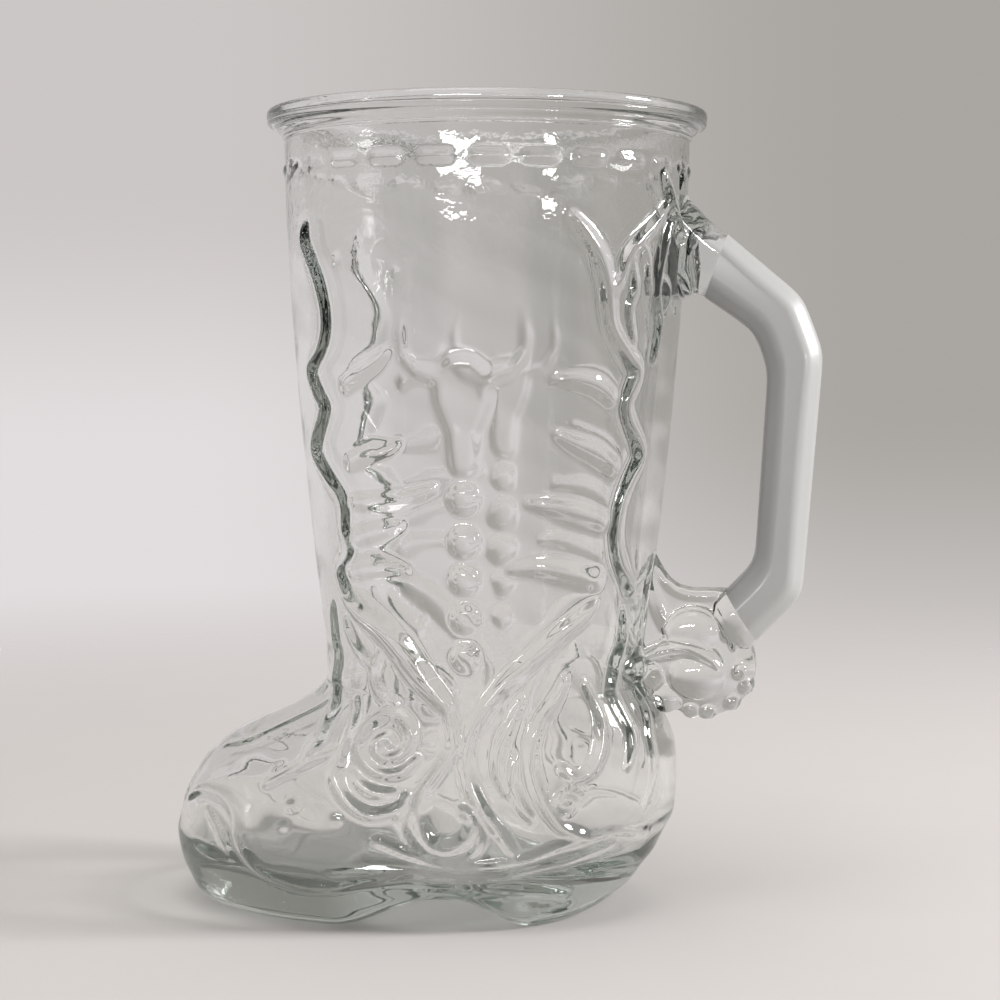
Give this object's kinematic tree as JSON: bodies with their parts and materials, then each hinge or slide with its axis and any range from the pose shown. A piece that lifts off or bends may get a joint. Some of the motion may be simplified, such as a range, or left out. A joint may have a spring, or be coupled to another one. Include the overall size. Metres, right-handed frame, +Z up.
{
  "type": "beer boot glass",
  "caption": "Clear pressed-glass beer mug in the shape of a western riding boot, with a rolled lip, raised tooling, a spur and a pale satin handle.",
  "frame": {"origin": "centre of the bounding box's bottom face, on the table", "axes": "+Z up to the lip, -X towards the toe, +X towards the handle, Y across the boot"},
  "size_m": [0.1273, 0.086, 0.156],
  "materials": {
    "clear_glass": "polished, clear, with a faint grey-green tint in thick places",
    "frosted_glass": "satin, pale white-grey"
  },
  "bodies": {
    "root": {"rim_bead": "clear_glass", "rim_collar": "clear_glass", "leg_wall": "clear_glass", "top_stitching": "clear_glass", "vamp_shell": "clear_glass", "counter_shell": "clear_glass", "foot_floor": "clear_glass", "sole_pad": "clear_glass", "heel_pad": "clear_glass", "welt": "clear_glass", "handle_root": "clear_glass", "handle_arm": "frosted_glass", "handle_shoulder": "frosted_glass", "handle_grip": "frosted_glass", "handle_foot": "frosted_glass", "spur_shank": "clear_glass", "spur_collar": "clear_glass", "spur_rowel": "clear_glass", "spur_buttons": "clear_glass", "spur_strap": "clear_glass", "steer_skulls": "clear_glass", "studs": "clear_glass", "front_scallops": "clear_glass", "back_scallops": "clear_glass", "front_fringe": "clear_glass", "back_fringe": "clear_glass", "chevrons": "clear_glass"}
  },
  "joints": []
}
